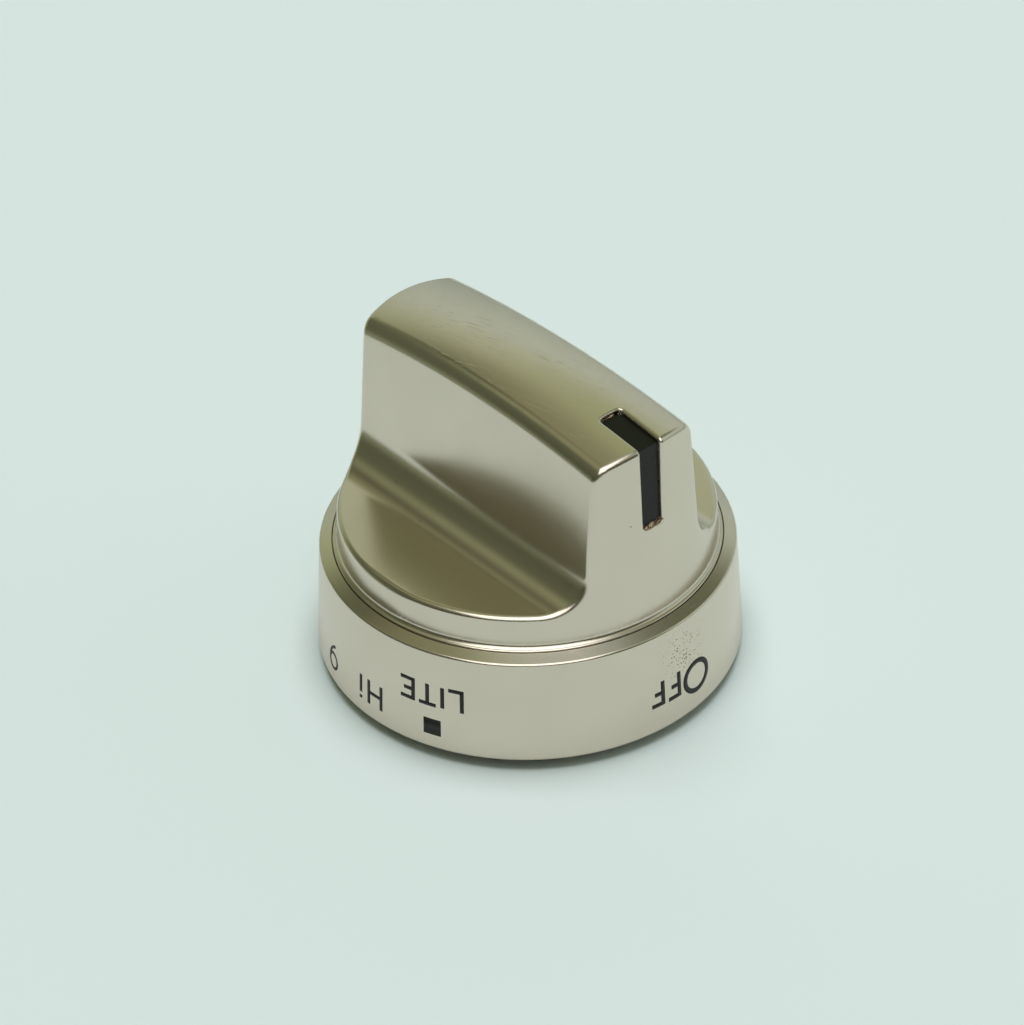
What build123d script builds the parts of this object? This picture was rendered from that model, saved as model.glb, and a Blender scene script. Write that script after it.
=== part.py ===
from build123d import *
from math import radians, sqrt, tan
import os

# Gas range burner knob. Millimetres. The stem axis is Z, the knob stands on its stem hub at Z = 0,
# and the pointer on the blade faces -Y.

# Dial skirt: a drafted ring with a sloped shoulder and an inner ledge
stand_off = 1.2
skirt_od = 48.0
skirt_top_od = 46.4
skirt_height = 12.75
skirt_wall = 1.6
shoulder_width = 1.35
shoulder_rise = 0.55
ledge_reach = 2.25
ledge_thick = 1.6
skirt_edge = 0.2
shoulder_edge = 0.12
skirt_foot_edge = 0.25

# Grip: a drafted cone on a thin foot, scooped on both sides to leave a blade
foot_groove = 0.2
foot_thick = 1.6
foot_proud = 0.1
foot_edge = 0.2
foot_step = 0.48
cone_draft = 2.3
foot_cove = 0.3
grip_top = 38.1
blade_width = 13.26
blade_draft = 4.9
crown_radius = 21.5
crown_length_radius = 150.0
scoop_floor = 18.6
scoop_radius = 4.3
blade_break = 1.1
edge_break = 0.45
edge_match = 0.01

# Underside of the grip casting
spigot_clearance = 0.1
spigot_wall = 1.3
spigot_short = 0.2
floor_wall = 2.1
blade_wall = 2.0
pocket_length = 30.0
pocket_roof = 3.6
pocket_corner = 2.0
boss_pitch = 25.0
boss_od = 6.4
boss_clearance = 0.1
pilot_d = 2.6
pilot_depth = 4.8

# Pointer slot and its insert
slot_width = 2.9
slot_width_low = 2.6
slot_length = 6.35
slot_drop = 11.5
slot_depth = 1.5
slot_corner = 0.45
slot_edge = 0.15
insert_recess = 0.55
insert_clearance = 0.05

# Stem hub: plate, ribs, drive key and stem socket
plate_clearance = 0.4
plate_thick = 1.8
hub_od = 13.6
hub_edge = 0.5
tube_od = 10.0
tube_wall_end = 2.0
spine_thick = 1.8
key_pitch = 19.0
key_height = 10.0
key_clearance = 0.15
rib_count = 6
rib_thick = 1.3
rib_length = 18.5
rib_tip = 1.2
rib_root = 4.6
socket_d = 6.2
socket_flat = 1.6
mouth_d = 6.8
mouth_depth = 6.0
socket_depth = 22.0
slit_width = 1.2
screw_hole_d = 3.3

# Spring clip in a groove round the socket's mouth
clip_thick = 0.8
clip_height = 2.6
clip_bottom = 1.6
clip_groove = 0.6
clip_clearance = 0.05
clip_gap_angle = 32.0

# Hub screws
screw_d = 2.5
screw_length = 6.0
head_d = 5.6
head_height = 1.9
head_edge = 0.6
recess_span = 3.0
recess_width = 0.9
recess_depth = 1.1

# Heights and radii that follow from the sizes above
skirt_top = stand_off + skirt_height
shoulder_top = skirt_top + shoulder_rise
foot_top = shoulder_top + foot_proud
ledge_top = foot_top - foot_thick
ledge_bottom = ledge_top - ledge_thick
shoulder_radius = skirt_top_od / 2 - shoulder_width
ledge_radius = shoulder_radius - ledge_reach
foot_radius = shoulder_radius - foot_groove
cone_foot_radius = foot_radius - foot_step
spigot_radius = ledge_radius - spigot_clearance
recess_roof = scoop_floor - floor_wall
pocket_top = grip_top - pocket_roof
past_body = 5.0


def skirt_radius(z):
    """Radius of the skirt's drafted outside at height z."""
    lean = (skirt_od - skirt_top_od) / 2 / skirt_height
    return skirt_od / 2 - (z - stand_off) * lean


def cone_radius(z):
    """Radius of the grip's drafted cone at height z."""
    return cone_foot_radius - (z - foot_top) * tan(radians(cone_draft))


def blade_half(z):
    """Half thickness of the drafted blade at height z."""
    return blade_width / 2 + (grip_top - z) * tan(radians(blade_draft))


def pocket_half(z):
    """Half width of the hollow inside the blade at height z."""
    return blade_half(z) - blade_wall


def crown_height(y):
    """Height of the crowned top on the blade's middle line, y from the axis."""
    return grip_top - crown_length_radius + sqrt(crown_length_radius**2 - y**2)


# Dial skirt
with BuildPart() as dial_skirt:
    with BuildSketch(Plane.XZ):
        with BuildLine():
            Polyline(
                (skirt_od / 2, stand_off),
                (skirt_top_od / 2, skirt_top),
                (shoulder_radius, shoulder_top),
                (shoulder_radius, ledge_top),
                (ledge_radius, ledge_top),
                (ledge_radius, ledge_bottom),
                (skirt_radius(ledge_bottom) - skirt_wall, ledge_bottom),
                (skirt_od / 2 - skirt_wall, stand_off),
                close=True,
            )
        make_face()
    revolve(axis=Axis.Z)
    circles = dial_skirt.edges().filter_by(GeomType.CIRCLE)
    chamfer(circles.group_by(Axis.Z)[-1], shoulder_edge)
    chamfer(circles.group_by(Axis.Z)[-2], skirt_edge)
    chamfer(circles.group_by(Axis.Z)[0], skirt_foot_edge)
dial_skirt.part.label = "dial_skirt"


def pointer_slot(cover, clearance):
    """Strip bent over the front edge of the blade, its outside standing cover above the blade's surface.

    From the side it is an L that follows the blade's front and top; from the front it narrows downwards.
    """
    low = grip_top - slot_drop + clearance
    front = cone_radius(grip_top)
    back = front - slot_length + clearance
    half_low = slot_width_low / 2 - clearance
    half_high = slot_width / 2 - clearance
    with BuildPart() as slot:
        with BuildSketch(Plane.YZ):
            with BuildLine():
                Polyline(
                    (-(cone_radius(low) + cover), low),
                    (-(front + cover), crown_height(front) + cover),
                    (-back, crown_height(back) + cover),
                    (-back, crown_height(back) - slot_depth),
                    (slot_depth - front, crown_height(front) - slot_depth),
                    (slot_depth - cone_radius(low), low),
                    close=True,
                )
            make_face()
        extrude(amount=slot_width, both=True)
        with BuildSketch(Plane.XZ):
            with BuildLine():
                Polyline(
                    (-half_low, low),
                    (half_low, low),
                    (half_high, grip_top),
                    (half_high, grip_top + past_body),
                    (-half_high, grip_top + past_body),
                    (-half_high, grip_top),
                    close=True,
                )
            make_face()
        extrude(amount=2 * front, mode=Mode.INTERSECT)
        back_corners = slot.edges().group_by(Axis.Y)[-1].filter_by(Axis.X, reverse=True)
        fillet(back_corners, slot_corner)
        low_corners = slot.edges().group_by(Axis.Z)[0].filter_by(Axis.X, reverse=True)
        fillet(low_corners, slot_corner)
    return slot.part


def on_rim(edge):
    """True for the edges where the scoops and the crowned top break out through the cone."""
    middle = edge @ 0.5
    off_cone = sqrt(middle.X**2 + middle.Y**2) - cone_radius(middle.Z)
    return abs(off_cone) < edge_match and middle.Z > scoop_floor - edge_match


def on_slot_mouth(edge):
    """True for the edges where the pointer slot opens at the front and the top of the blade."""
    middle = edge @ 0.5
    depth = min(cone_radius(middle.Z) + middle.Y, crown_height(middle.Y) - middle.Z)
    return abs(middle.X) < slot_width and depth < slot_depth / 3


# Grip
slot_cut = pointer_slot(past_body, 0)
with BuildPart() as grip:
    with BuildSketch(Plane.XZ) as grip_profile:
        with BuildLine():
            Polyline(
                (0, ledge_top),
                (foot_radius, ledge_top),
                (foot_radius, foot_top),
                (cone_foot_radius, foot_top),
                (cone_radius(grip_top + past_body), grip_top + past_body),
                (0, grip_top + past_body),
                close=True,
            )
        make_face()
        foot_corners = grip_profile.vertices().group_by(Axis.Y)[1].sort_by(Axis.X)
        chamfer(foot_corners[0], foot_cove)
        chamfer(foot_corners[-1], foot_edge)
    revolve(axis=Axis.Z)

    # Finger scoops, one each side, straight along the blade
    scoop_top = grip_top + past_body
    with BuildSketch(Plane.XZ) as scoops:
        with BuildLine():
            Polyline(
                (blade_half(scoop_floor), scoop_floor),
                (skirt_od, scoop_floor),
                (skirt_od, scoop_top),
                (blade_half(scoop_top), scoop_top),
                close=True,
            )
        make_face()
        fillet(scoops.vertices().sort_by(Axis.X).sort_by(Axis.Y)[0], scoop_radius)
        mirror(about=Plane.YZ)
    extrude(amount=skirt_od, both=True, mode=Mode.SUBTRACT)

    # Crowned top: an arc across the blade, carried round an axis far below it
    crown_axis = Axis((0, 0, grip_top - crown_length_radius), (1, 0, 0))
    crown_half = blade_half(scoop_floor)
    crown_edge = grip_top - crown_radius + sqrt(crown_radius**2 - crown_half**2)
    crown_over = grip_top + 2 * past_body
    with BuildSketch(Plane.XZ):
        with BuildLine():
            ThreePointArc((-crown_half, crown_edge), (0, grip_top), (crown_half, crown_edge))
            Polyline(
                (crown_half, crown_edge),
                (crown_half, crown_over),
                (-crown_half, crown_over),
                (-crown_half, crown_edge),
            )
        make_face()
    revolve(axis=crown_axis, mode=Mode.SUBTRACT)

    # Long edges of the blade's top, broken wide, then the edges of the scoops and of the crowned ends
    top_edges = grip.faces().sort_by(Axis.Z)[-1].edges()
    chamfer(top_edges.filter_by(on_rim, reverse=True), blade_break)
    chamfer(grip.edges().filter_by(on_rim), edge_break)

    # Slot for the pointer insert
    add(slot_cut, mode=Mode.SUBTRACT)
    chamfer(grip.edges().filter_by(on_slot_mouth), slot_edge)

    # Underside: spigot that centres the skirt, shallow recess, hollow blade, screw bosses
    with BuildSketch(Plane.XY.offset(ledge_bottom + spigot_short)):
        Circle(spigot_radius)
    extrude(until=Until.NEXT)
    with BuildSketch(Plane.XY.offset(ledge_bottom)):
        Circle(spigot_radius - spigot_wall)
    extrude(amount=recess_roof - ledge_bottom, mode=Mode.SUBTRACT)
    with BuildSketch(Plane.XY.offset(recess_roof)):
        RectangleRounded(2 * pocket_half(recess_roof), pocket_length, pocket_corner)
    extrude(amount=pocket_top - recess_roof, taper=blade_draft, mode=Mode.SUBTRACT)
    with BuildSketch(Plane.XY.offset(ledge_bottom + boss_clearance)):
        with GridLocations(boss_pitch, 0, 2, 1):
            Circle(boss_od / 2)
    extrude(amount=recess_roof - ledge_bottom - boss_clearance)
    with BuildSketch(Plane.XY.offset(ledge_bottom + boss_clearance)):
        with GridLocations(boss_pitch, 0, 2, 1):
            Circle(pilot_d / 2)
    extrude(amount=pilot_depth, mode=Mode.SUBTRACT)
grip.part.label = "grip"

# Pointer insert: fills the slot up to a little below the blade's surface
with BuildPart() as pointer_insert:
    add(pointer_slot(-insert_recess, insert_clearance))
pointer_insert.part.label = "pointer_insert"

# Stem hub
plate_radius = skirt_radius(ledge_bottom) - skirt_wall - plate_clearance
plate_bottom = ledge_bottom - plate_thick
with BuildPart() as stem_hub:
    with BuildSketch(Plane.XY.offset(plate_bottom)):
        Circle(plate_radius)
    extrude(amount=plate_thick)
    with BuildSketch(Plane.XY):
        Circle(hub_od / 2)
    extrude(amount=plate_bottom)
    chamfer(stem_hub.edges().group_by(Axis.Z)[0], hub_edge)

    # Radial ribs under the plate, deepest at the hub
    for rib in range(rib_count):
        rib_angle = (rib + 0.5) * 360 / rib_count
        with BuildSketch(Plane.XZ.rotated((0, 0, rib_angle))):
            with BuildLine():
                Polyline(
                    (0, plate_bottom),
                    (0, plate_bottom - rib_root),
                    (hub_od / 2, plate_bottom - rib_root),
                    (rib_length, plate_bottom - rib_tip),
                    (rib_length, plate_bottom),
                    close=True,
                )
            make_face()
        extrude(amount=rib_thick / 2, both=True)

    # Socket tube, with a spine and two cross walls that fit the hollow of the blade
    with BuildSketch(Plane.XY.offset(ledge_bottom)):
        Circle(tube_od / 2)
    extrude(amount=socket_depth + tube_wall_end - ledge_bottom)
    with BuildSketch(Plane.XY.offset(ledge_bottom)):
        Rectangle(spine_thick, key_pitch)
    extrude(amount=key_height)
    for side in (-1, 1):
        with BuildSketch(Plane.XZ.offset(side * key_pitch / 2)):
            with BuildLine():
                key_low = pocket_half(ledge_bottom) - key_clearance
                key_high = pocket_half(ledge_bottom + key_height) - key_clearance
                Polyline(
                    (-key_low, ledge_bottom),
                    (key_low, ledge_bottom),
                    (key_high, ledge_bottom + key_height),
                    (-key_high, ledge_bottom + key_height),
                    close=True,
                )
            make_face()
        extrude(amount=spine_thick / 2, both=True)

    # Stem socket: a round mouth, then a D
    with BuildSketch(Plane.XY):
        Circle(mouth_d / 2)
    extrude(amount=mouth_depth, mode=Mode.SUBTRACT)
    with BuildSketch(Plane.XY.offset(mouth_depth)):
        Circle(socket_d / 2)
        with Locations((0, socket_flat + socket_d / 2)):
            Rectangle(socket_d, socket_d, mode=Mode.SUBTRACT)
    extrude(amount=socket_depth - mouth_depth, mode=Mode.SUBTRACT)

    # Groove for the spring clip, slit that lets the mouth close on the stem, and screw holes
    with BuildSketch(Plane.XY.offset(clip_bottom - clip_clearance)):
        Circle(hub_od / 2)
        Circle(hub_od / 2 - clip_groove, mode=Mode.SUBTRACT)
    extrude(amount=clip_height + 2 * clip_clearance, mode=Mode.SUBTRACT)
    with BuildSketch(Plane.XY):
        with Locations((0, hub_od / 4)):
            Rectangle(slit_width, hub_od / 2)
    extrude(amount=mouth_depth, mode=Mode.SUBTRACT)
    with BuildSketch(Plane.XY.offset(plate_bottom)):
        with GridLocations(boss_pitch, 0, 2, 1):
            Circle(screw_hole_d / 2)
    extrude(amount=plate_thick, mode=Mode.SUBTRACT)
stem_hub.part.label = "stem_hub"

# Spring clip: split ring in the hub's groove
clip_radius = hub_od / 2 - clip_groove + clip_clearance
with BuildPart() as spring_clip:
    with BuildSketch(Plane.XZ.rotated((0, 0, 90 + clip_gap_angle / 2))):
        with Locations((clip_radius + clip_thick / 2, clip_bottom + clip_height / 2)):
            Rectangle(clip_thick, clip_height)
    revolve(axis=Axis.Z, revolution_arc=360 - clip_gap_angle)
spring_clip.part.label = "spring_clip"

# Hub screws: pan heads under the plate, shanks up into the grip's bosses
with BuildPart() as hub_screws:
    with BuildSketch(Plane.XY.offset(plate_bottom)):
        with GridLocations(boss_pitch, 0, 2, 1):
            Circle(head_d / 2)
    extrude(amount=-head_height)
    chamfer(hub_screws.edges().group_by(Axis.Z)[0], head_edge)
    with BuildSketch(Plane.XY.offset(plate_bottom)):
        with GridLocations(boss_pitch, 0, 2, 1):
            Circle(screw_d / 2)
    extrude(amount=screw_length)
    with BuildSketch(Plane.XY.offset(plate_bottom - head_height)):
        with GridLocations(boss_pitch, 0, 2, 1):
            Rectangle(recess_span, recess_width)
            Rectangle(recess_width, recess_span)
    extrude(amount=recess_depth, mode=Mode.SUBTRACT)
hub_screws.part.label = "hub_screws"

os.makedirs("parts", exist_ok=True)
for piece in (dial_skirt, grip, pointer_insert, stem_hub, spring_clip, hub_screws):
    export_step(piece.part, f"parts/{piece.part.label}.step")
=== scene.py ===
import bmesh
import bpy
import numpy as np
from mathutils import Matrix, Vector


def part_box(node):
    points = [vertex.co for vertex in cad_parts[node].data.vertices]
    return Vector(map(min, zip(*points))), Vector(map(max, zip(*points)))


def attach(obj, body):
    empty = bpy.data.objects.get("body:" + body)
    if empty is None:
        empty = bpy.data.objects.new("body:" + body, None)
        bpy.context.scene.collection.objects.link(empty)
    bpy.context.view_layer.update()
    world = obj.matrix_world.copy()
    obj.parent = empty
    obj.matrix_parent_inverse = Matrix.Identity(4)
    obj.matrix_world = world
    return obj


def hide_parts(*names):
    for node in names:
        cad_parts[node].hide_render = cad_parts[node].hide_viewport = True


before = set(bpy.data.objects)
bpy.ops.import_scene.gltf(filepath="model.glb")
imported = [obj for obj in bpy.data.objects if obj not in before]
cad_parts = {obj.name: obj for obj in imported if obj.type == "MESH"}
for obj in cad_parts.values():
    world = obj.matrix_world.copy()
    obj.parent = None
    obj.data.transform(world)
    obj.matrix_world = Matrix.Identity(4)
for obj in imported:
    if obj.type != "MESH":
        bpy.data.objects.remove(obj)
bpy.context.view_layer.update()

# Grip: the handle, die-cast in zinc and plated in satin nickel. A drafted cone on a thin foot is scooped on
# both sides, which leaves a blade with a crowned top. Its foot sits on the skirt's ledge, and two screws
# from below hold it there. Sizes are in millimetres, about the stem axis, as in the CAD.
mm = 0.001
grip_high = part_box("grip")[1]
foot_radius = grip_high.x / mm
foot_top = 14.6
foot_bottom = 13.0
foot_rounding = 0.12
cone_radius = 21.17
cone_draft = np.tan(np.radians(2.3))
cove_radius = 0.65
grip_top = 38.1
blade_half = 6.63
blade_draft = np.tan(np.radians(4.9))
scoop_floor = 18.6
scoop_radius = 4.3
crown_radius = 21.5
crown_length_radius = 150.0
blade_rounding = 1.3
rim_rounding = 0.6


def fill_corner(a, b, radius):
    """Union of two solids given by signed distances, with a hollow fillet of that radius where they meet."""
    near = np.hypot(np.maximum(radius - a, 0), np.maximum(radius - b, 0))
    return np.maximum(radius, np.minimum(a, b)) - near


def round_edge(a, b, radius):
    """What two solids have in common, by signed distances, with a rounded edge of that radius."""
    near = np.hypot(np.maximum(radius + a, 0), np.maximum(radius + b, 0))
    return np.minimum(-radius, np.maximum(a, b)) + near


def grip_distance(x, y, z):
    """Signed distance to the grip without its slot: the scooped blade cut by cone and crown, on its foot.

    The crown is a ring of crown_radius about an axis along X, crown_length_radius below the top.
    """
    out = np.hypot(x, y)
    side = (np.abs(x) - blade_half - (grip_top - z) * blade_draft) / np.hypot(1, blade_draft)
    cone = (out - cone_radius + (z - foot_top) * cone_draft) / np.hypot(1, cone_draft)
    ring = np.hypot(y, z - grip_top + crown_length_radius) - crown_length_radius + crown_radius
    crown = np.hypot(x, ring) - crown_radius
    scooped = fill_corner(side, z - scoop_floor, scoop_radius)
    handle = round_edge(round_edge(scooped, crown, blade_rounding), cone, rim_rounding)
    foot = round_edge(out - foot_radius, z - foot_top, foot_rounding)
    return fill_corner(handle, foot, cove_radius)


def slope_of(distance, points, step=1e-3):
    """Unit normals at the points: the gradient of a signed distance, by central differences."""
    shifts = np.eye(3) * step
    slopes = [distance(*(points + s).T) - distance(*(points - s).T) for s in shifts]
    normals = np.stack(slopes, -1)
    return normals / np.linalg.norm(normals, axis=-1, keepdims=True)


def reach_to_zero(signed, low, high, halvings=34):
    """Where a function that grows along each ray crosses zero, by halving between low and high."""
    for _ in range(halvings):
        middle = (low + high) / 2
        inside = signed(middle) < 0
        low = np.where(inside, middle, low)
        high = np.where(inside, high, middle)
    return (low + high) / 2


def spaced(values, density, count):
    """Count values along the last axis, spaced by the inverse of the density between the given values."""
    total = np.concatenate([np.zeros(density.shape[:-1] + (1,)), np.cumsum(density, -1)], -1)
    wanted = np.linspace(0, 1, count)
    totals = total.reshape(-1, total.shape[-1])
    rows = np.broadcast_to(values, total.shape).reshape(-1, values.shape[-1])
    picked = [np.interp(wanted * t[-1], t, v) for t, v in zip(totals, rows)]
    return np.array(picked).reshape(density.shape[:-1] + (count,))


# The pointer slot runs up the blade's front and back along its top. Its mouth is rounded.
slot_half = 1.45
slot_half_low = 1.3
slot_low = 26.6
slot_back = -13.87
slot_corner = 0.45
slot_rounding = 0.4
slot_depth = 1.5
slot_wall = 0.02
slot_taper = (slot_half - slot_half_low) / (grip_top - slot_low)


def slot_distance(x, y, z):
    """How far a point of the blade lies inside the slot's outline, a strip with round corners."""
    from_end = slot_corner - np.minimum(z - slot_low, slot_back - y)
    from_side = slot_corner - (slot_half - (grip_top - z) * slot_taper - np.abs(x))
    beyond = np.hypot(np.maximum(from_end, 0), np.maximum(from_side, 0))
    return slot_corner - beyond - np.minimum(np.maximum(from_end, from_side), 0)


def slot_sink(inside):
    """Depth under the surface at that distance inside the outline: a quarter round, then a steep wall."""
    lip = np.clip(inside + slot_rounding, 0, slot_rounding)
    rounded = slot_rounding - np.sqrt(slot_rounding**2 - lip**2)
    wall = np.clip(inside / slot_wall, 0, 1) * (slot_depth - slot_rounding)
    return rounded + wall


# Sampling curves fan out from two points beside the axis. Between those points they run straight along the
# blade, so that they follow the sides of the slot, and beyond they follow the blade's drafted edges.
fan_height = 4.0
fan_offset = 2.4
fan_reach = 60.0
fan_columns = 132
grip_rows = 230


def start_of(offset, z):
    """Where the curves of that offset stand at height z: they lean with the slot or with the blade."""
    lip = slot_half + slot_rounding
    lean = np.interp(offset, [0, slot_half, lip, fan_offset], [0, -slot_taper, -slot_taper, blade_draft])
    return offset + (grip_top - z) * lean


def along_curve(offset, heading, climb, reach):
    """Points at that reach on the curves that head round the axis, from the front, and climb from level."""
    out = reach * np.cos(climb)
    z = fan_height + reach * np.sin(climb)
    return np.stack([start_of(offset, z) + out * np.sin(heading), -out * np.cos(heading), z])


def on_grip(offset, heading, climb, depth=0.0):
    """Points of the curves at that depth under the grip's surface."""
    shape = np.broadcast_shapes(offset.shape, heading.shape, climb.shape)
    reach = reach_to_zero(
        lambda r: grip_distance(*along_curve(offset, heading, climb, r)) + depth,
        np.ones(shape), np.full(shape, fan_reach),
    )
    return np.moveaxis(along_curve(offset, heading, climb, reach), 0, -1)


def bending(points, axis):
    """Length of each step along an axis of a grid on the grip, and the surface's turn over it in radians."""
    normals = slope_of(grip_distance, points.reshape(-1, 3)).reshape(points.shape)
    steps = np.linalg.norm(np.diff(points, axis=axis), axis=-1)
    turns = np.linalg.norm(np.diff(normals, axis=axis), axis=-1)
    return steps, turns


# Columns: close together at the sides of the slot, then a fan that crowds where the blade and the rim bend,
# which is judged on two belts round the grip, one above the scoops' floor and one below it
belt_heights = np.array([26.0, 16.0])
belt_reach = 17.0
column_step = 0.9
column_turn = np.radians(7)
lip_angles = np.radians(np.linspace(90, 0, 8))
slot_columns = np.concatenate([
    slot_half * np.array([0, 0.35, 0.65, 0.85, 0.95]),
    [slot_half - slot_wall],
    slot_half + slot_rounding * (1 - np.sin(lip_angles)),
    np.linspace(slot_half + slot_rounding, fan_offset, 5)[1:-1],
])
even_headings = np.linspace(0, np.pi, 3001)
belts = np.arctan2(belt_heights - fan_height, belt_reach)
belt_points = on_grip(np.full((1, 1), fan_offset), even_headings[:, None], belts[None, :])
steps, turns = bending(belt_points, 0)
fan_headings = spaced(even_headings, (steps / column_step + turns / column_turn).sum(1), fan_columns)
offsets = np.concatenate([slot_columns, np.full(fan_columns, fan_offset), slot_columns[::-1]])[:, None]
headings = np.concatenate([0 * slot_columns, fan_headings, 0 * slot_columns + np.pi])[:, None]

# Rows: from the foot's lower edge up to the middle of the crown, crowded at each rounding and, over the width
# of the blade, at the slot's ends
row_step = 0.6
row_turn = np.radians(6)
slot_crowding = 28
beside = start_of(offsets, foot_bottom)
foot_out = np.sqrt(foot_radius**2 - (beside * np.cos(headings)) ** 2) - beside * np.sin(headings)
lowest = np.arctan2(foot_bottom - fan_height, foot_out)
even_climbs = lowest + (np.pi / 2 - lowest) * np.linspace(0, 1, 1400)
traces = on_grip(offsets, headings, even_climbs)
steps, turns = bending(traces, 1)
x, y, z = np.moveaxis((traces[:, 1:] + traces[:, :-1]) / 2, -1, 0)
to_slot_end = np.minimum(np.abs(z - slot_low), np.abs(y - slot_back))
near_slot = np.clip((7.0 - np.abs(x)) / 5.0, 0, 1) * (y < 0) * (to_slot_end < slot_rounding + 0.05)
density = steps / row_step + turns / row_turn + steps * near_slot * slot_crowding
climbs = spaced(even_climbs, density, grip_rows)
skin = on_grip(offsets, headings, climbs)
sunk = slot_sink(slot_distance(*np.moveaxis(skin, -1, 0)))
right = on_grip(offsets, headings, climbs, sunk)
left = right[-2:0:-1] * [-1, 1, 1]
skin = np.concatenate([right, left])

# Underside: the foot's ring, the spigot that centres the skirt, a recess and the hollow inside the blade
spigot_radius = 19.5
spigot_low = 11.6
recess_radius = 18.2
recess_roof = 16.5
pocket_half_length = 15.0
pocket_wall = 2.0
pocket_corner = 2.0
pocket_top = 34.5


def pocket_outline(azimuth, z):
    """Points of the hollow's rounded rectangle at height z and those azimuths; it narrows with the draft."""
    half = np.array([blade_half + (grip_top - z) * blade_draft - pocket_wall,
                     pocket_half_length - (z - recess_roof) * blade_draft])[:, None]
    aim = np.stack([np.cos(azimuth), np.sin(azimuth)])

    def signed(reach):
        beyond = np.abs(aim * reach) - half + pocket_corner
        return np.hypot(*np.maximum(beyond, 0)) + np.minimum(beyond.max(0), 0) - pocket_corner
    reach = reach_to_zero(signed, 0 * azimuth, 0 * azimuth + foot_radius)
    return np.column_stack([*(aim * reach), np.full_like(azimuth, z)])


def circle(azimuth, radius, z):
    """Points of a level circle at those azimuths."""
    return np.column_stack([radius * np.cos(azimuth), radius * np.sin(azimuth), np.full_like(azimuth, z)])


azimuth = np.arctan2(skin[:, 0, 1], skin[:, 0, 0])
underside = np.stack([
    circle(azimuth, 0, pocket_top),
    pocket_outline(azimuth, pocket_top),
    pocket_outline(azimuth, recess_roof),
    circle(azimuth, recess_radius, recess_roof),
    circle(azimuth, recess_radius, spigot_low),
    circle(azimuth, spigot_radius, spigot_low),
    circle(azimuth, spigot_radius, foot_bottom),
], 1)

# Bosses for the two hub screws, hanging from the roof of the recess
boss_pitch = 25.0
boss_radius = 3.2
boss_low = 11.5
pilot_radius = 1.3
boss_columns = 32


def turned(profile, count, centre=(0, 0)):
    """Grid of a closed profile of (radius, height) points turned once round an upright axis."""
    turn = np.linspace(0, 2 * np.pi, count, endpoint=False)[:, None]
    radius, height = np.array(profile, float).T
    x = centre[0] + radius * np.cos(turn)
    y = centre[1] + radius * np.sin(turn)
    return np.stack([x, y, height + 0 * turn], -1)


boss_profile = [
    (pilot_radius, boss_low), (boss_radius, boss_low), (boss_radius, recess_roof), (pilot_radius, recess_roof)
]
bosses = [turned(boss_profile, boss_columns, (side * boss_pitch / 2, 0)) for side in (-1, 1)]


def quads(columns, rows, closed_rows=False):
    """Corner numbers of a grid's faces by column; its columns close round, and its rows where asked."""
    column = np.arange(columns)[:, None]
    row = np.arange(rows if closed_rows else rows - 1)[None, :]
    here, after = column * rows, (column + 1) % columns * rows
    up = (row + 1) % rows
    return np.stack([here + row, after + row, after + up, here + up], -1).reshape(-1, 4)


def add_piece(name, grids, closed_rows, material):
    """A mesh object in the row frame from grids of points in millimetres, its doubled points merged."""
    points = np.concatenate([g.reshape(-1, 3) for g in grids]) * mm
    starts = np.cumsum([0] + [g.shape[0] * g.shape[1] for g in grids])
    faces = [quads(g.shape[0], g.shape[1], c) + s for g, c, s in zip(grids, closed_rows, starts)]
    mesh = bpy.data.meshes.new(name)
    mesh.from_pydata(points.tolist(), [], np.concatenate(faces).tolist())
    work = bmesh.new()
    work.from_mesh(mesh)
    bmesh.ops.remove_doubles(work, verts=work.verts, dist=1e-7)
    work.to_mesh(mesh)
    work.free()
    mesh.shade_smooth()
    mesh.materials.append(material)
    piece = bpy.data.objects.new(name, mesh)
    bpy.context.scene.collection.objects.link(piece)
    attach(piece, "root")
    return piece


def corners_of(mesh):
    """The mesh's points in millimetres, and Blender's own normals there."""
    points = np.empty(len(mesh.vertices) * 3, np.float32)
    mesh.vertices.foreach_get("co", points)
    normals = np.empty(len(mesh.vertices) * 3, np.float32)
    mesh.vertex_normals.foreach_get("vector", normals)
    return points.reshape(-1, 3).astype(float) / mm, normals.reshape(-1, 3)


def linear(code):
    """An sRGB hex colour as linear red, green, blue and alpha."""
    value = np.array([int(code[i : i + 2], 16) / 255 for i in (1, 3, 5)])
    low, high = value / 12.92, ((value + 0.055) / 1.055) ** 2.4
    return (*np.where(value <= 0.04045, low, high), 1.0)


def add_node(tree, kind, inputs=None, **settings):
    """A node with its settings, and its inputs set to values or linked to other nodes' outputs."""
    node = tree.nodes.new(kind)
    for name, value in settings.items():
        setattr(node, name, value)
    for key, value in (inputs or {}).items():
        if isinstance(value, bpy.types.NodeSocket):
            tree.links.new(value, node.inputs[key])
        else:
            node.inputs[key].default_value = value
    return node


def new_material(name):
    """An empty material, its node tree, its output and the piece's Object coordinates."""
    material = bpy.data.materials.new(name)
    material.use_nodes = True
    tree = material.node_tree
    tree.nodes.clear()
    output = add_node(tree, "ShaderNodeOutputMaterial")
    place = add_node(tree, "ShaderNodeTexCoord").outputs["Object"]
    return material, tree, output, place


# Satin nickel plate on cast zinc: a warm pale metal, blasted fine before plating, so reflections are soft
# and the tone clouds a little. The blasting is 0.08 mm across, and the clouds about 6 mm.
nickel_pale = "#E4DACD"
nickel_deep = "#DDD3C5"
blast_size = 0.08
cloud_size = 6.0
plate_gloss = (0.19, 0.25)


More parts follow.
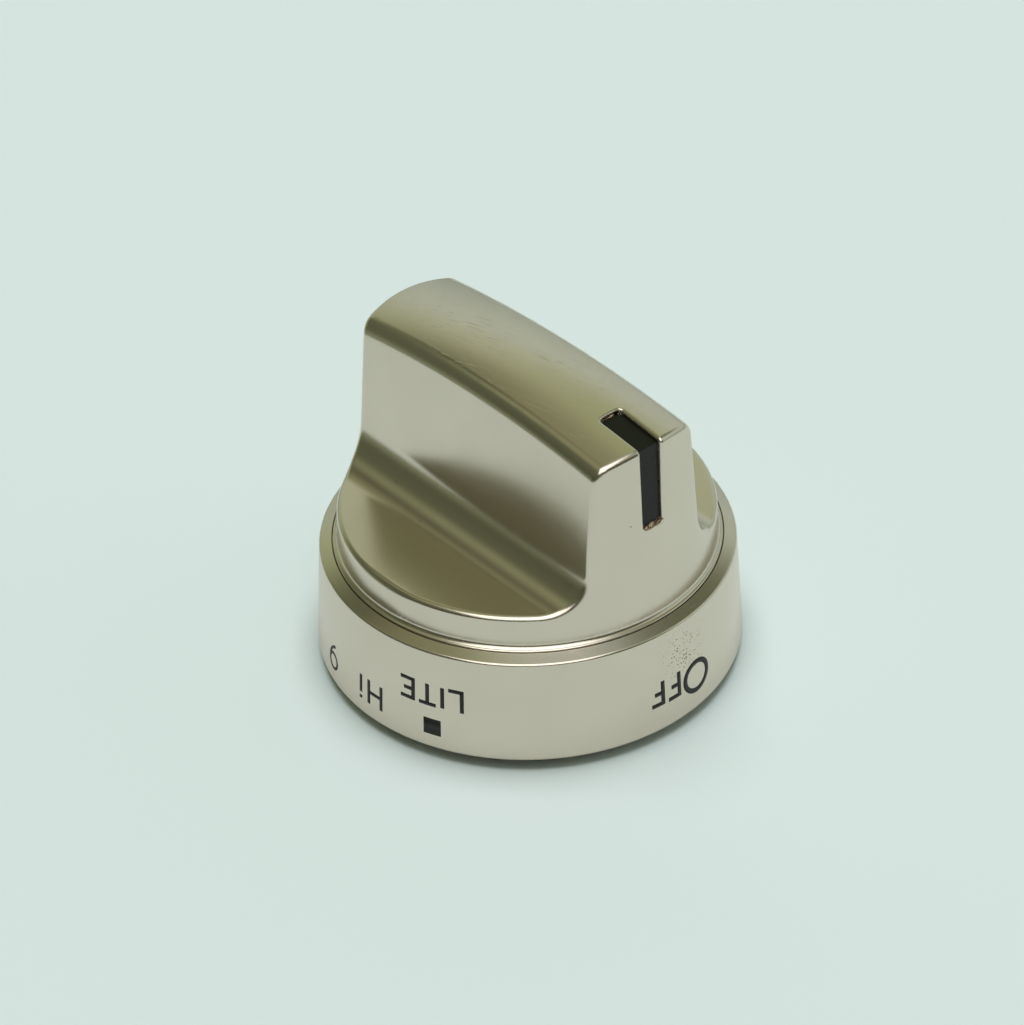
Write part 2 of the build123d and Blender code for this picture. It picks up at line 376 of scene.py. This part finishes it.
def satin_nickel(name):
    """The plate's material without wear, and its tree, shader, place, tone and bump for the wear's nodes."""
    material, tree, output, place = new_material(name)
    cloud = add_node(tree, "ShaderNodeTexNoise", {
        "Vector": place, "Scale": 1 / (cloud_size * mm), "Detail": 3.0
    })
    blast = add_node(tree, "ShaderNodeTexNoise", {
        "Vector": place, "Scale": 1 / (blast_size * mm), "Detail": 2.0
    })
    tone = add_node(tree, "ShaderNodeMix", {
        "Factor": cloud.outputs["Fac"], "A": linear(nickel_pale), "B": linear(nickel_deep)
    }, data_type="RGBA")
    gloss = add_node(tree, "ShaderNodeMapRange", {
        "Value": cloud.outputs["Fac"], "To Min": plate_gloss[0], "To Max": plate_gloss[1]
    })
    bump = add_node(tree, "ShaderNodeBump", {
        "Height": blast.outputs["Fac"], "Strength": 0.1, "Distance": 0.01 * mm
    })
    shader = add_node(tree, "ShaderNodeBsdfPrincipled", {
        "Base Color": tone.outputs[2],
        "Metallic": 1.0,
        "Roughness": gloss.outputs[0],
        "Normal": bump.outputs[0],
    })
    tree.links.new(shader.outputs[0], output.inputs["Surface"])
    return material, tree, shader, place, tone.outputs[2], bump.outputs[0]


# Wear on the grip: fine scratches on the blade's top, 0.1 mm wide and about 14 mm long, a little askew to its
# length, where fingers rub it, and a few dark specks in the plate, as the photograph shows them
scratch_width = 0.1
scratch_length = 14.0
scratch_turn = 14.0
scratch_zone = (36.2, 37.2)
speck_radius = 0.09
speck_dark = "#5A5446"
specks = [(-11.35, 4.75, 18.8), (-9.55, 11.05, 19.75), (-8.55, -16.9, 20.95), (-3.05, -20.4, 27.8)]
grip_nickel, tree, shader, place, tone, bump = satin_nickel("satin_nickel_grip")
drawn = add_node(tree, "ShaderNodeMapping", {
    "Vector": place,
    "Rotation": (0, 0, np.radians(scratch_turn)),
    "Scale": (scratch_width * mm, scratch_length * mm, scratch_width * mm),
}, vector_type="TEXTURE")
threads = add_node(tree, "ShaderNodeTexNoise", {
    "Vector": drawn.outputs["Vector"], "Scale": 1.0, "Detail": 1.0
})
lines = add_node(tree, "ShaderNodeMapRange", {
    "Value": threads.outputs["Fac"], "From Min": 0.64, "From Max": 0.78
})
height = add_node(tree, "ShaderNodeSeparateXYZ", {"Vector": place}).outputs["Z"]
rubbed = add_node(tree, "ShaderNodeMapRange", {
    "Value": height, "From Min": scratch_zone[0] * mm, "From Max": scratch_zone[1] * mm
})
scratches = add_node(tree, "ShaderNodeMath", {
    0: lines.outputs[0], 1: rubbed.outputs[0]
}, operation="MULTIPLY")
scored = add_node(tree, "ShaderNodeBump", {
    "Height": scratches.outputs[0], "Strength": 1.0, "Distance": 0.009 * mm, "Normal": bump
}, invert=True)
tree.links.new(scored.outputs[0], shader.inputs["Normal"])
for spot in specks:
    away = add_node(tree, "ShaderNodeVectorMath", {
        0: place, 1: tuple(np.array(spot) * mm)
    }, operation="DISTANCE")
    pit = add_node(tree, "ShaderNodeMapRange", {
        "Value": away.outputs["Value"],
        "From Min": 1.3 * speck_radius * mm,
        "From Max": 0.6 * speck_radius * mm,
    })
    marked = add_node(tree, "ShaderNodeMix", {
        "Factor": pit.outputs[0], "A": tone, "B": linear(speck_dark)
    }, data_type="RGBA")
    tone = marked.outputs[2]
tree.links.new(tone, shader.inputs["Base Color"])
grip = add_piece(
    "grip_casting",
    [np.concatenate([underside, skin], 1), *bosses],
    [False, True, True],
    grip_nickel,
)
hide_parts("grip")
points, own_normals = corners_of(grip.data)
plain = (slot_distance(*points.T) < -slot_rounding) | (points[:, 1] > slot_back + 1)
outside = np.abs(grip_distance(*points.T)) < 1e-3
exact = slope_of(grip_distance, points)
grip.data.normals_split_custom_set_from_vertices(np.where((plain & outside)[:, None], exact, own_normals))

# Pointer insert: a smooth black moulding pressed into the slot, its face a little below the blade's surface.
# It shows as near black on top and takes the pale surroundings in a soft sheen on the front.
insert_black = "#020303"
insert_wave = 2.0
material, tree, output, place = new_material("black_moulded_insert")
wave = add_node(tree, "ShaderNodeTexNoise", {"Vector": place, "Scale": 1 / (insert_wave * mm)})
gloss = add_node(tree, "ShaderNodeMapRange", {"Value": wave.outputs["Fac"], "To Min": 0.22, "To Max": 0.34})
shader = add_node(tree, "ShaderNodeBsdfPrincipled", {
    "Base Color": linear(insert_black), "Roughness": gloss.outputs[0], "Specular IOR Level": 0.32
})
tree.links.new(shader.outputs[0], output.inputs["Surface"])
pointer_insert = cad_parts["pointer_insert"]
pointer_insert.data.materials.clear()
pointer_insert.data.materials.append(material)

# Dial skirt: a drafted ring, die-cast in zinc and plated like the grip, with a sloped shoulder and an inner
# ledge that the grip's foot clamps against the stem hub's plate.
skirt_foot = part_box("dial_skirt")[0].z / mm
skirt_radius = 24.0
skirt_top_radius = 23.2
skirt_top = 13.95
skirt_wall = 1.6
skirt_columns = 320
shoulder_radius = 21.77
shoulder_top = 14.53
groove_floor = 13.7
groove_gap = 0.05
ledge_radius = 19.6
ledge_top = 13.0
ledge_bottom = 11.4
skirt_lean = (skirt_radius - skirt_top_radius) / (skirt_top - skirt_foot)


def skirt_outside(z):
    """Radius of the skirt's outside at height z."""
    return skirt_radius - (z - skirt_foot) * skirt_lean


def rounded_profile(corners, steps=7):
    """Closed profile from (radius, height, rounding) corners, each an arc that touches both its sides.

    Returns the points and the outward normals there, for corners listed with the solid on the left.
    """
    spots = np.array([c[:2] for c in corners], float)
    rounding = np.array([c[2] for c in corners], float)[:, None]
    back = np.roll(spots, 1, 0) - spots
    ahead = np.roll(spots, -1, 0) - spots
    back /= np.linalg.norm(back, axis=1, keepdims=True)
    ahead /= np.linalg.norm(ahead, axis=1, keepdims=True)
    turn_side = np.sign(ahead[:, 0] * back[:, 1] - ahead[:, 1] * back[:, 0])[:, None]
    half = np.arccos(np.clip((back * ahead).sum(1), -1, 1))[:, None] / 2
    bisector = (back + ahead) / np.linalg.norm(back + ahead, axis=1, keepdims=True)
    centre = spots + bisector * rounding / np.sin(half)
    first = -turn_side * np.column_stack([back[:, 1], -back[:, 0]])
    last = turn_side * np.column_stack([ahead[:, 1], -ahead[:, 0]])
    share = np.linspace(0, 1, steps)[None, :, None]
    sweep = np.pi - 2 * half[:, None]
    weight_first = np.sin((1 - share) * sweep) / np.sin(sweep)
    weight_last = np.sin(share * sweep) / np.sin(sweep)
    spokes = weight_first * first[:, None] + weight_last * last[:, None]
    points = centre[:, None] + spokes * rounding[:, None]
    normals = spokes * turn_side[:, None]
    return points.reshape(-1, 2), normals.reshape(-1, 2)


skirt_corners = [
    (skirt_radius, skirt_foot, 0.4),
    (skirt_top_radius, skirt_top, 0.38),
    (shoulder_radius, shoulder_top, 0.06),
    (shoulder_radius, groove_floor, 0.03),
    (foot_radius + groove_gap, groove_floor, 0.03),
    (foot_radius + groove_gap, ledge_top, 0.005),
    (ledge_radius, ledge_top, 0.1),
    (ledge_radius, ledge_bottom, 0.1),
    (skirt_outside(ledge_bottom) - skirt_wall, ledge_bottom, 0.2),
    (skirt_radius - skirt_wall, skirt_foot, 0.4),
]
skirt_profile, skirt_normals = rounded_profile(skirt_corners)

# Wear on the skirt: the plate has blistered between the OFF mark and the skirt's top edge. The pits are about
# 0.12 mm across and 0.3 mm apart, thickest in the middle of the patch.
pit_spacing = 0.3
pit_dark = "#5E594C"
clump_size = 1.2
patch_azimuth = 5.0
patch_height = 10.2
patch_half = (12.5, 5.2)
skirt_nickel, tree, shader, place, tone, bump = satin_nickel("satin_nickel_skirt")
axes = add_node(tree, "ShaderNodeSeparateXYZ", {"Vector": place}).outputs
back = add_node(tree, "ShaderNodeMath", {0: axes["Y"], 1: -1.0}, operation="MULTIPLY")
azimuth = add_node(tree, "ShaderNodeMath", {0: axes["X"], 1: back.outputs[0]}, operation="ARCTAN2")
around = add_node(tree, "ShaderNodeMapRange", {
    "Value": azimuth.outputs[0],
    "From Min": np.radians(patch_azimuth), "From Max": np.radians(patch_azimuth + patch_half[0]),
}, clamp=False)
along = add_node(tree, "ShaderNodeMapRange", {
    "Value": axes["Z"], "From Min": patch_height * mm, "From Max": (patch_height + patch_half[1]) * mm
}, clamp=False)
from_middle = add_node(tree, "ShaderNodeCombineXYZ", {"X": around.outputs[0], "Y": along.outputs[0]})
spread = add_node(tree, "ShaderNodeVectorMath", {0: from_middle.outputs[0]}, operation="LENGTH")
patch = add_node(tree, "ShaderNodeMapRange", {
    "Value": spread.outputs["Value"], "From Min": 1.05, "From Max": 0.1, "To Min": 0.0, "To Max": 0.5
})
clump = add_node(tree, "ShaderNodeTexNoise", {"Vector": place, "Scale": 1 / (clump_size * mm), "Detail": 1.0})
thick = add_node(tree, "ShaderNodeMath", {0: clump.outputs["Fac"], 1: patch.outputs[0]}, operation="MULTIPLY")
cells = add_node(tree, "ShaderNodeTexVoronoi", {"Vector": place, "Scale": 1 / (pit_spacing * mm)})
depth = add_node(tree, "ShaderNodeMath", {
    0: thick.outputs[0], 1: cells.outputs["Distance"]
}, operation="SUBTRACT")
pits = add_node(tree, "ShaderNodeMapRange", {"Value": depth.outputs[0], "From Min": -0.06, "From Max": 0.06})
stained = add_node(tree, "ShaderNodeMix", {
    "Factor": pits.outputs[0], "A": tone, "B": linear(pit_dark)
}, data_type="RGBA")
sunk_pits = add_node(tree, "ShaderNodeBump", {
    "Height": pits.outputs[0], "Strength": 1.0, "Distance": 0.07 * mm, "Normal": bump
}, invert=True)
tree.links.new(stained.outputs[2], shader.inputs["Base Color"])
tree.links.new(sunk_pits.outputs[0], shader.inputs["Normal"])
skirt = add_piece("skirt_ring", [turned(skirt_profile, skirt_columns)], [True], skirt_nickel)
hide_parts("dial_skirt")
skirt_shading = turned(skirt_normals, skirt_columns).reshape(-1, 3)
skirt.data.normals_split_custom_set_from_vertices(skirt_shading)

# Dial marks: screen-printed in black on the skirt's side, with their tops towards the skirt's foot. Each
# stroke is a thin film of ink that follows the skirt. Beyond the 9 the marks are hidden in the photograph.
ink_proud = 0.015
ink_sunk = 0.03
ink_step = 0.2


def arc(across, up, half_width, half_height, start, end):
    """Points of an ellipse's arc between two angles in degrees, in cap heights."""
    turn = np.radians(np.linspace(start, end, 33))
    return [*zip(across + half_width * np.cos(turn), up + half_height * np.sin(turn))]


strokes = {
    "O": [arc(0.51, 0.5, 0.51, 0.5, 0, 360)],
    "F": [[(0.53, 1), (0, 1), (0, 0)], [(0.06, 0.52), (0.38, 0.52)]],
    "L": [[(0, 1), (0, 0), (0.57, 0)]],
    "I": [[(0, 0), (0, 1)]],
    "T": [[(-0.4, 1), (0.4, 1)], [(0, 0), (0, 0.92)]],
    "E": [[(0.65, 1), (0, 1), (0, 0), (0.65, 0)], [(0.07, 0.52), (0.48, 0.52)]],
    "H": [[(0, 0), (0, 1)], [(0.61, 0), (0.61, 1)], [(0.06, 0.5), (0.55, 0.5)]],
    "i": [[(0, 0), (0, 0.74)], [(0, 0.88), (0, 1)]],
    "square": [[(0, 0.5), (1, 0.5)]],
    "9": [arc(0.3, 0.69, 0.3, 0.31, 0, 360), arc(-0.05, 0.64, 0.65, 0.64, -4, -72)],
    "8": [arc(0.3, 0.76, 0.25, 0.24, 0, 360), arc(0.3, 0.24, 0.3, 0.24, 0, 360)],
    "7": [[(0, 1), (0.6, 1), (0.2, 0)]],
    "6": [arc(0.3, 0.31, 0.3, 0.31, 0, 360), arc(0.65, 0.36, 0.65, 0.64, 176, 108)],
    "5": [[(0.54, 1), (0.1, 1), (0.06, 0.56), *arc(0.28, 0.32, 0.3, 0.32, 130, -140)]],
    "4": [[(0.45, 0), (0.45, 1), (0, 0.3), (0.62, 0.3)]],
    "3": [[*arc(0.28, 0.76, 0.25, 0.24, 150, -80), *arc(0.28, 0.26, 0.3, 0.26, 80, -150)]],
    "2": [[*arc(0.29, 0.71, 0.29, 0.29, 165, -35), (0, 0), (0.6, 0)]],
    "o": [arc(0.28, 0.3, 0.28, 0.3, 0, 360)],
}
# Each mark: its strokes, the azimuth of its left side from the pointer, its base, cap height and stroke width
marks = [
    ("O", 13.7, 7.5, 3.7, 0.62), ("F", 2.3, 7.8, 3.0, 0.52), ("F", -3.4, 7.8, 2.9, 0.52),
    ("L", -58.8, 9.6, 2.7, 0.46), ("I", -64.3, 9.7, 2.7, 0.46), ("T", -68.7, 9.7, 2.6, 0.46),
    ("E", -73.0, 9.6, 2.5, 0.46), ("square", -64.8, 5.2, 2.1, 2.1),
    ("H", -83.9, 6.4, 3.2, 0.44), ("i", -91.9, 6.4, 3.2, 0.44), ("9", -104.3, 6.4, 3.2, 0.36),
    ("8", -134.0, 6.4, 3.2, 0.3), ("7", -150.0, 6.4, 3.2, 0.3), ("6", -166.0, 6.4, 3.2, 0.3),
    ("5", -182.0, 6.4, 3.2, 0.3), ("4", -198.0, 6.4, 3.2, 0.3), ("3", -214.0, 6.4, 3.2, 0.3),
    ("2", -230.0, 6.4, 3.2, 0.3), ("L", -246.0, 6.4, 3.2, 0.4), ("o", -251.5, 6.4, 3.2, 0.4),
]


def ink_film(path, azimuth, base, width):
    """Closed ribbon of that width along a path of (across, up) points in millimetres, laid on the skirt.

    Its ring of four corners is mitred where the path turns; a path that comes back to its start has no ends.
    """
    legs = np.diff(path, axis=0)
    counts = np.ceil(np.linalg.norm(legs, axis=1) / ink_step).astype(int)
    parts = [start + leg * np.arange(n)[:, None] / n for start, leg, n in zip(path[:-1], legs, counts)]
    line = np.concatenate([*parts, path[-1:]])
    ahead = np.diff(line, axis=0)
    ahead /= np.linalg.norm(ahead, axis=1, keepdims=True)
    closed = np.allclose(path[0], path[-1])
    before = np.concatenate([ahead[-1:] if closed else ahead[:1], ahead])
    after = np.concatenate([ahead, ahead[:1] if closed else ahead[-1:]])
    aside = np.column_stack([-(before + after)[:, 1], (before + after)[:, 0]])
    aside *= width / (1 + (before * after).sum(1, keepdims=True)) / 2
    corners = np.stack([line + aside, line - aside, line - aside, line + aside])
    lift = np.array([ink_proud, ink_proud, -ink_sunk, -ink_sunk])[:, None]
    height = base - corners[..., 1]
    radius = skirt_outside(height) + lift
    turn = np.radians(azimuth) - corners[..., 0] / skirt_outside(height)
    film = np.stack([radius * np.sin(turn), -radius * np.cos(turn), height], -1)
    if closed:
        return film[:, :-1], True
    ends = np.broadcast_to(film.mean(0)[[0, -1]], (4, 2, 3))
    return np.concatenate([ends[:, :1], film, ends[:, 1:]], 1), False


films = [
    ink_film(np.array(path) * height, azimuth, base, width)
    for name, azimuth, base, height, width in marks for path in strokes[name]
]
ink_black = "#0E0E0F"
ink_grain = 0.3
material, tree, output, place = new_material("printed_black_ink")
grain = add_node(tree, "ShaderNodeTexNoise", {"Vector": place, "Scale": 1 / (ink_grain * mm)})
gloss = add_node(tree, "ShaderNodeMapRange", {"Value": grain.outputs["Fac"], "To Min": 0.4, "To Max": 0.6})
shader = add_node(tree, "ShaderNodeBsdfPrincipled", {
    "Base Color": linear(ink_black), "Roughness": gloss.outputs[0]
})
tree.links.new(shader.outputs[0], output.inputs["Surface"])
grids, closed = zip(*films)
add_piece("dial_marks", grids, closed, material)

# Stem hub: a black moulding with ribs, under the skirt, whose socket takes the valve stem. Its texture is a
# fine spark-eroded one, about 0.25 mm, that leaves it matt.
hub_black = "#26262A"
hub_grain = 0.25
material, tree, output, place = new_material("textured_black_moulding")
grain = add_node(tree, "ShaderNodeTexNoise", {"Vector": place, "Scale": 1 / (hub_grain * mm), "Detail": 2.0})
gloss = add_node(tree, "ShaderNodeMapRange", {"Value": grain.outputs["Fac"], "To Min": 0.45, "To Max": 0.65})
bump = add_node(tree, "ShaderNodeBump", {
    "Height": grain.outputs["Fac"], "Strength": 0.3, "Distance": 0.02 * mm
})
shader = add_node(tree, "ShaderNodeBsdfPrincipled", {
    "Base Color": linear(hub_black), "Roughness": gloss.outputs[0], "Normal": bump.outputs[0]
})
tree.links.new(shader.outputs[0], output.inputs["Surface"])
stem_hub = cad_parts["stem_hub"]
stem_hub.data.materials.clear()
stem_hub.data.materials.append(material)

# Hub screws: zinc plated steel, which hold the hub and the skirt up against the grip's bosses. The plating
# clouds over about 1.5 mm between a bluish and a yellower grey.
screw_blue = "#BBBCBE"
screw_yellow = "#B4AE9C"
screw_cloud = 1.5
material, tree, output, place = new_material("zinc_plated_screw")
cloud = add_node(tree, "ShaderNodeTexNoise", {
    "Vector": place, "Scale": 1 / (screw_cloud * mm), "Detail": 2.0
})
tone = add_node(tree, "ShaderNodeMix", {
    "Factor": cloud.outputs["Fac"], "A": linear(screw_blue), "B": linear(screw_yellow)
}, data_type="RGBA")
gloss = add_node(tree, "ShaderNodeMapRange", {"Value": cloud.outputs["Fac"], "To Min": 0.28, "To Max": 0.42})
shader = add_node(tree, "ShaderNodeBsdfPrincipled", {
    "Base Color": tone.outputs[2], "Metallic": 1.0, "Roughness": gloss.outputs[0]
})
tree.links.new(shader.outputs[0], output.inputs["Surface"])
hub_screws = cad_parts["hub_screws"]
hub_screws.data.materials.clear()
hub_screws.data.materials.append(material)

# Spring clip: a split ring of rolled spring steel that closes the socket's mouth on the stem. Rolling leaves
# fine lines round the ring, 0.1 mm apart in height.
clip_grey = "#9A9894"
clip_shade = "#85837E"
clip_line = 0.1
clip_run = 6.0
material, tree, output, place = new_material("rolled_spring_steel")
drawn = add_node(tree, "ShaderNodeVectorMath", {
    0: place, 1: tuple(1 / np.array([clip_run, clip_run, clip_line]) / mm)
}, operation="MULTIPLY")
lines = add_node(tree, "ShaderNodeTexNoise", {"Vector": drawn.outputs["Vector"], "Scale": 1.0, "Detail": 2.0})
tone = add_node(tree, "ShaderNodeMix", {
    "Factor": lines.outputs["Fac"], "A": linear(clip_grey), "B": linear(clip_shade)
}, data_type="RGBA")
gloss = add_node(tree, "ShaderNodeMapRange", {"Value": lines.outputs["Fac"], "To Min": 0.25, "To Max": 0.4})
shader = add_node(tree, "ShaderNodeBsdfPrincipled", {
    "Base Color": tone.outputs[2], "Metallic": 1.0, "Roughness": gloss.outputs[0]
})
tree.links.new(shader.outputs[0], output.inputs["Surface"])
spring_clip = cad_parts["spring_clip"]
spring_clip.data.materials.clear()
spring_clip.data.materials.append(material)

# Floor: a pale mint sheet that the knob stands on. A hand's breadth to the left, outside the picture, the
# metal no longer shows it but the darker room, as the blade's side and the scoop do in the photograph.
floor_colour = "#E9F6FB"
floor_in_metal = "#E0E9EB"
floor_reach = 1.5
floor_left = 0.1
floor_mottle = 30.0
camera_right = np.array([0.77, -0.64, 0])
camera_far = np.array([0.64, 0.77, 0])
material, tree, output, place = new_material("pale_mint_sheet")
mottle = add_node(tree, "ShaderNodeTexNoise", {"Vector": place, "Scale": 1 / (floor_mottle * mm)})
matt = add_node(tree, "ShaderNodeMapRange", {"Value": mottle.outputs["Fac"], "To Min": 0.85, "To Max": 0.95})
seen_directly = add_node(tree, "ShaderNodeLightPath").outputs["Is Camera Ray"]
tone = add_node(tree, "ShaderNodeMix", {
    "Factor": seen_directly, "A": linear(floor_in_metal), "B": linear(floor_colour)
}, data_type="RGBA")
shader = add_node(tree, "ShaderNodeBsdfPrincipled", {
    "Base Color": tone.outputs[2], "Roughness": matt.outputs[0]
})
tree.links.new(shader.outputs[0], output.inputs["Surface"])


def add_sheet(name, left, right):
    """A level sheet on the floor between two distances to the camera's right, in metres."""
    near, far = -floor_reach, floor_reach
    places = [(left, near), (right, near), (right, far), (left, far)]
    corners = [across * camera_right + away * camera_far for across, away in places]
    mesh = bpy.data.meshes.new(name)
    mesh.from_pydata([tuple(c) for c in corners], [], [(0, 1, 2, 3)])
    mesh.materials.append(material)
    sheet = bpy.data.objects.new(name, mesh)
    bpy.context.scene.collection.objects.link(sheet)
    return sheet


add_sheet("floor", -floor_left, floor_reach)
add_sheet("floor_left", -floor_reach, -floor_left).visible_glossy = False

# Light: a soft panel overhead for the sheet and its shadow, a wide one above the camera that the metal shows
# as white lines on its edges, and a pale room: a ramp from its skirting over a dark cornice to the ceiling,
# with soft round patches in a few tones for what stands in it, mostly at the left and behind the camera.
backdrop = "#D3E3DD"
room_heights = [
    (0.0, "#808874"), (0.1, "#A4B0A8"), (0.45, "#C4CFC3"), (0.7, "#B9BB9F"),
    (0.79, "#74745A"), (0.9, "#98A294"), (1.0, "#C4CAC6"),
]
glow = "#E0F0BC"
olive = "#A6B086"
dim = "#8A8B6C"
dark = "#5D624D"
deep = "#484B39"
# Each patch: bearing to the right of the camera's heading, elevation, outer and inner half-width, all in
# degrees, and tone
room_patches = [
    (-75, 40, 60, 25, olive), (-80, 45, 20, 10, glow), (-85, 20, 35, 10, dark), (-40, 55, 25, 5, deep),
    (45, 50, 25, 5, dark), (180, 10, 55, 25, dark), (135, 10, 35, 20, deep), (-130, 10, 45, 25, deep),
    (-110, 35, 30, 10, dark), (-85, 60, 25, 5, dim), (-60, 30, 20, 5, dark), (-15, 60, 20, 5, dim),
    (15, 50, 20, 5, olive),
]


def room_direction(bearing, elevation):
    """Unit vector towards a place in the room: its bearing on the level, then raised by its elevation."""
    bearing, elevation = np.radians([bearing, elevation])
    level = np.cos(bearing) * camera_far + np.sin(bearing) * camera_right
    return tuple(np.cos(elevation) * level + np.sin(elevation) * np.array([0, 0, 1]))


world = bpy.data.worlds.new("room")
bpy.context.scene.world = world
world.use_nodes = True
tree = world.node_tree
tree.nodes.clear()
direction = add_node(tree, "ShaderNodeTexCoord").outputs["Generated"]
height = add_node(tree, "ShaderNodeSeparateXYZ", {"Vector": direction}).outputs["Z"]
ramp = add_node(tree, "ShaderNodeValToRGB", {"Fac": height})
while len(ramp.color_ramp.elements) < len(room_heights):
    ramp.color_ramp.elements.new(1.0)
for element, (position, code) in zip(ramp.color_ramp.elements, room_heights):
    element.position = position
    element.color = linear(code)
colour = ramp.outputs["Color"]
for bearing, elevation, outer, inner, code in room_patches:
    towards = room_direction(bearing, elevation)
    near = add_node(tree, "ShaderNodeVectorMath", {0: direction, 1: towards}, operation="DOT_PRODUCT")
    share = add_node(tree, "ShaderNodeMapRange", {
        "Value": near.outputs["Value"],
        "From Min": np.cos(np.radians(outer)),
        "From Max": np.cos(np.radians(inner)),
    }, interpolation_type="SMOOTHSTEP")
    mixed = add_node(tree, "ShaderNodeMix", {
        "Factor": share.outputs[0], "A": colour, "B": linear(code)
    }, data_type="RGBA")
    colour = mixed.outputs[2]
seen_directly = add_node(tree, "ShaderNodeLightPath").outputs["Is Camera Ray"]
shown = add_node(tree, "ShaderNodeMix", {
    "Factor": seen_directly, "A": colour, "B": linear(backdrop)
}, data_type="RGBA")
background = add_node(tree, "ShaderNodeBackground", {"Color": shown.outputs[2], "Strength": 1.0})
add_node(tree, "ShaderNodeOutputWorld", {"Surface": background.outputs[0]})


def add_panel(name, location, size, energy):
    """A square area light at a place in metres, turned to the knob."""
    panel = bpy.data.lights.new(name, "AREA")
    panel.shape = "SQUARE"
    panel.size = size
    panel.energy = energy
    holder = bpy.data.objects.new(name, panel)
    holder.location = location
    holder.rotation_euler = (-Vector(location)).to_track_quat("-Z", "Y").to_euler()
    bpy.context.scene.collection.objects.link(holder)
    return holder


add_panel("overhead_panel", (0.167, 0.201, 2.99), 1.8, 54.0).visible_glossy = False
add_panel("camera_side_panel", (-1.5, -1.8, 3.3), 4.0, 78.0).visible_diffuse = False
bpy.context.scene.view_settings.view_transform = "Standard"

# Camera: at the photograph's viewing angle, from the front left and above, 400 mm from the knob and rolled a
# little. Its place and aim are in millimetres, and its lens and sensor in the camera's own.
camera_spot = Vector((-200.76, -238.33, 251.99)) * mm
camera_aim = Vector((3.73, 7.1, 10.93)) * mm
camera_roll = np.radians(-1.73)
camera = bpy.data.cameras.new("camera")
camera.sensor_fit = "HORIZONTAL"
camera.sensor_width = 36.0
camera.lens = 124.08
camera_object = bpy.data.objects.new("camera", camera)
look = (camera_aim - camera_spot).normalized()
level_right = look.cross(Vector((0, 0, 1))).normalized()
level_up = level_right.cross(look)
image_right = np.cos(camera_roll) * level_right + np.sin(camera_roll) * level_up
image_up = -np.sin(camera_roll) * level_right + np.cos(camera_roll) * level_up
turn = Matrix((image_right, image_up, -look)).transposed().to_4x4()
camera_object.matrix_world = Matrix.Translation(camera_spot) @ turn
bpy.context.scene.collection.objects.link(camera_object)
bpy.context.scene.camera = camera_object
